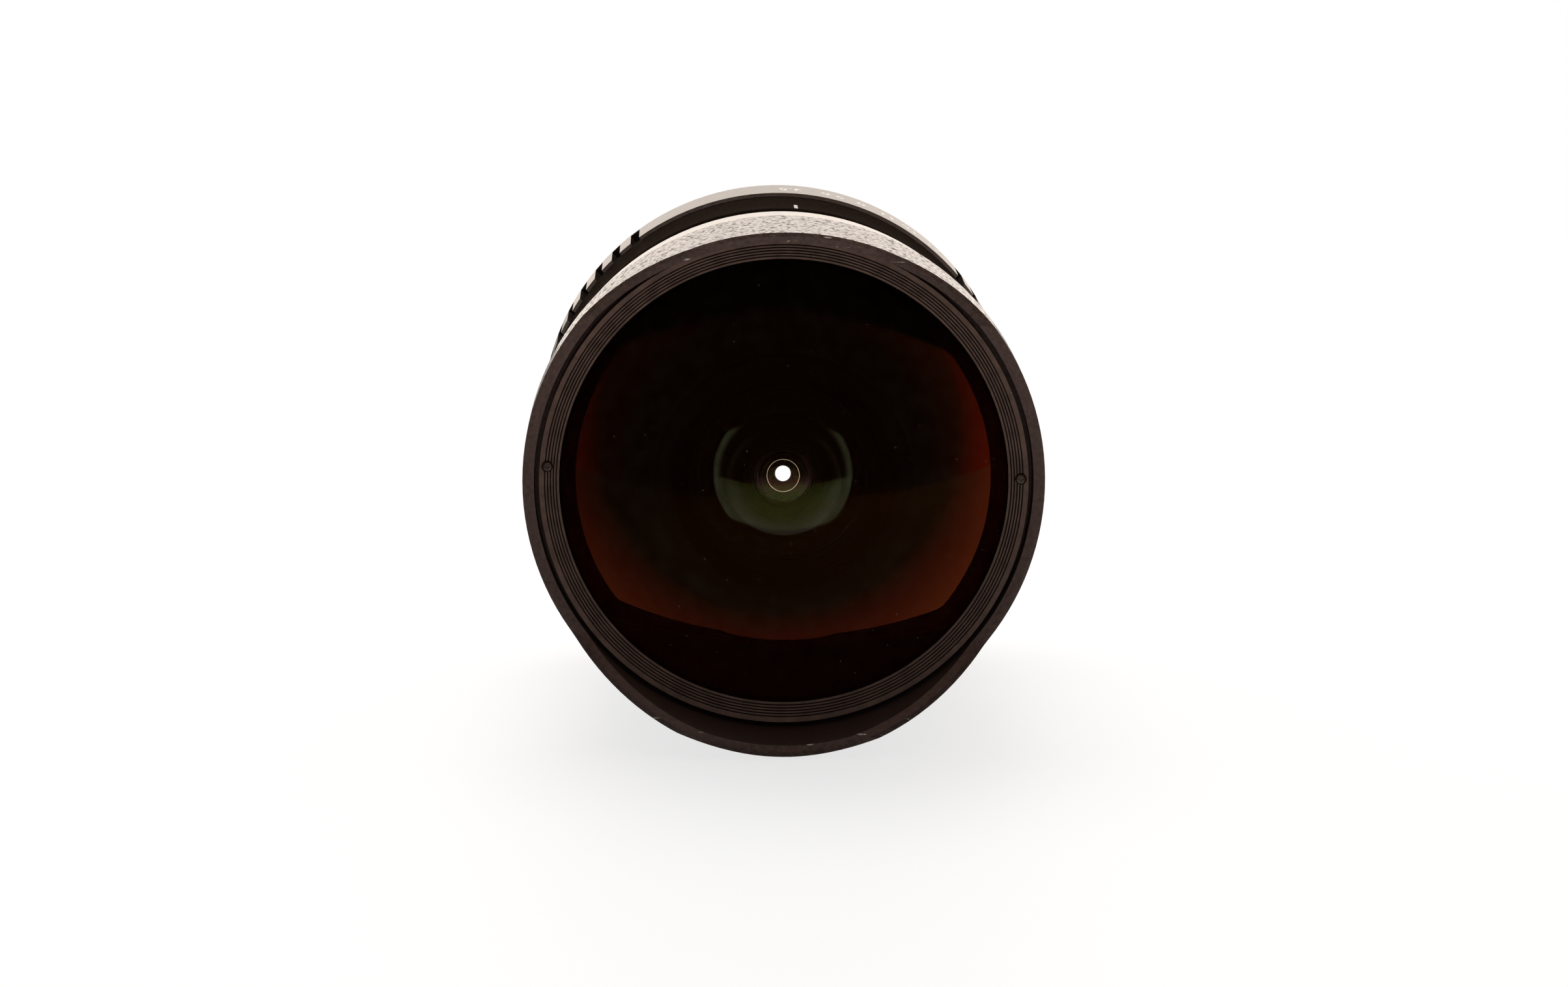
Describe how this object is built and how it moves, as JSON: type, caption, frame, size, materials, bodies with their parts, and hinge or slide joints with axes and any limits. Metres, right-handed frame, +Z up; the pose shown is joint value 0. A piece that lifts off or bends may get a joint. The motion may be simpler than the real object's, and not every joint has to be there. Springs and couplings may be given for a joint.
{
  "type": "prime lens",
  "caption": "Fisheye prime lens with a fixed petal hood, a turning focus ring, a click-stopped aperture ring that works a bladed iris, and a bayonet flange.",
  "frame": {"origin": "centre of the bearing face of the bayonet flange", "axes": "+Y along the optical axis to the camera, -Y to the subject, +Z up as mounted, +X to the right as seen from the front"},
  "size_m": [0.075, 0.0835, 0.075],
  "materials": {
    "hood_wrinkle_paint": "wrinkled satin",
    "ring_paint": "satin",
    "barrel_enamel": "semi-gloss",
    "baffle_black": "matt",
    "anodised_black": "anodised satin",
    "dome_glass": "polished, coated",
    "inner_glass": "polished, coated",
    "grip_rubber": "matt",
    "seal_rubber": "soft",
    "blade_steel": "blackened, matt",
    "brass": "turned",
    "chromed_brass": "satin chrome",
    "screw_steel": "turned",
    "black_screw_steel": "blackened",
    "index_red": "gloss"
  },
  "bodies": {
    "barrel": {"baffle_ring": "baffle_black", "baffle_screws": "black_screw_steel", "click_ball": "screw_steel", "click_spring": "blade_steel", "dome_seal": "seal_rubber", "eighth_element": "inner_glass", "front_cell": "anodised_black", "front_element": "dome_glass", "front_hood": "hood_wrinkle_paint", "inner_barrel": "anodised_black", "inner_barrel_screws": "screw_steel", "iris_plate": "anodised_black", "iris_retainer": "anodised_black", "iris_washer": "blade_steel", "main_barrel": "barrel_enamel", "mount_base": "anodised_black", "mount_flange": "chromed_brass", "mount_index_dot": "index_red", "mount_screws": "screw_steel", "ninth_element": "inner_glass", "pair_retainer": "brass", "rear_cell": "anodised_black", "rear_mask": "baffle_black", "rear_retainer": "brass", "rear_spacer": "anodised_black", "second_element": "inner_glass", "seventh_element": "inner_glass", "sixth_element": "inner_glass", "tenth_element": "inner_glass"},
    "focus_ring": {"focus_ring": "ring_paint", "focus_grip": "grip_rubber"},
    "focus_carriage": {"focus_carriage": "anodised_black", "cam_followers": "brass", "carriage_retainer": "brass", "third_element": "inner_glass", "fourth_element": "inner_glass", "fifth_element": "inner_glass"},
    "aperture_ring": {"aperture_ring": "ring_paint", "aperture_link": "screw_steel"},
    "iris_cam_ring": {"iris_cam_ring": "brass"},
    "iris_blade_1": {"iris_blade_1": "blade_steel"},
    "iris_blade_2": {"iris_blade_2": "blade_steel"},
    "iris_blade_3": {"iris_blade_3": "blade_steel"},
    "iris_blade_4": {"iris_blade_4": "blade_steel"},
    "iris_blade_5": {"iris_blade_5": "blade_steel"},
    "iris_blade_6": {"iris_blade_6": "blade_steel"}
  },
  "joints": [
    {"name": "focus_turn", "type": "hinge", "parent": "barrel", "child": "focus_ring", "pos_m": [0, -0.048, 0], "axis": [0, 1, 0], "range_deg": [-20, 80]},
    {"name": "focus_slide", "type": "slide", "parent": "barrel", "child": "focus_carriage", "axis": [0, 1, 0], "range_m": [-0.00048, 0.00192]},
    {"name": "aperture_turn", "type": "hinge", "parent": "barrel", "child": "aperture_ring", "pos_m": [0, -0.00935, 0], "axis": [0, 1, 0], "range_deg": [-38.4, 0]},
    {"name": "iris_cam_turn", "type": "hinge", "parent": "barrel", "child": "iris_cam_ring", "pos_m": [0, -0.022, 0], "axis": [0, 1, 0], "range_deg": [-38.4, 0]},
    {"name": "iris_blade_1_swing", "type": "hinge", "parent": "barrel", "child": "iris_blade_1", "pos_m": [0.011, -0.0237, 0], "axis": [0, 1, 0], "range_deg": [-18.94, 0]},
    {"name": "iris_blade_2_swing", "type": "hinge", "parent": "barrel", "child": "iris_blade_2", "pos_m": [0.0055, -0.0237, 0.00953], "axis": [0, 1, 0], "range_deg": [-18.94, 0]},
    {"name": "iris_blade_3_swing", "type": "hinge", "parent": "barrel", "child": "iris_blade_3", "pos_m": [-0.0055, -0.0237, 0.00953], "axis": [0, 1, 0], "range_deg": [-18.94, 0]},
    {"name": "iris_blade_4_swing", "type": "hinge", "parent": "barrel", "child": "iris_blade_4", "pos_m": [-0.011, -0.0237, 0], "axis": [0, 1, 0], "range_deg": [-18.94, 0]},
    {"name": "iris_blade_5_swing", "type": "hinge", "parent": "barrel", "child": "iris_blade_5", "pos_m": [-0.0055, -0.0237, -0.00953], "axis": [0, 1, 0], "range_deg": [-18.94, 0]},
    {"name": "iris_blade_6_swing", "type": "hinge", "parent": "barrel", "child": "iris_blade_6", "pos_m": [0.0055, -0.0237, -0.00953], "axis": [0, 1, 0], "range_deg": [-18.94, 0]}
  ],
  "couplings": [
    {"joint": "focus_slide", "follows": "focus_turn", "m_per_rad": 0.0013751},
    {"joint": "iris_cam_turn", "follows": "aperture_turn", "ratio": 1},
    {"joint": "iris_blade_1_swing", "follows": "aperture_turn", "ratio": 0.49327},
    {"joint": "iris_blade_2_swing", "follows": "aperture_turn", "ratio": 0.49327},
    {"joint": "iris_blade_3_swing", "follows": "aperture_turn", "ratio": 0.49327},
    {"joint": "iris_blade_4_swing", "follows": "aperture_turn", "ratio": 0.49327},
    {"joint": "iris_blade_5_swing", "follows": "aperture_turn", "ratio": 0.49327},
    {"joint": "iris_blade_6_swing", "follows": "aperture_turn", "ratio": 0.49327}
  ]
}
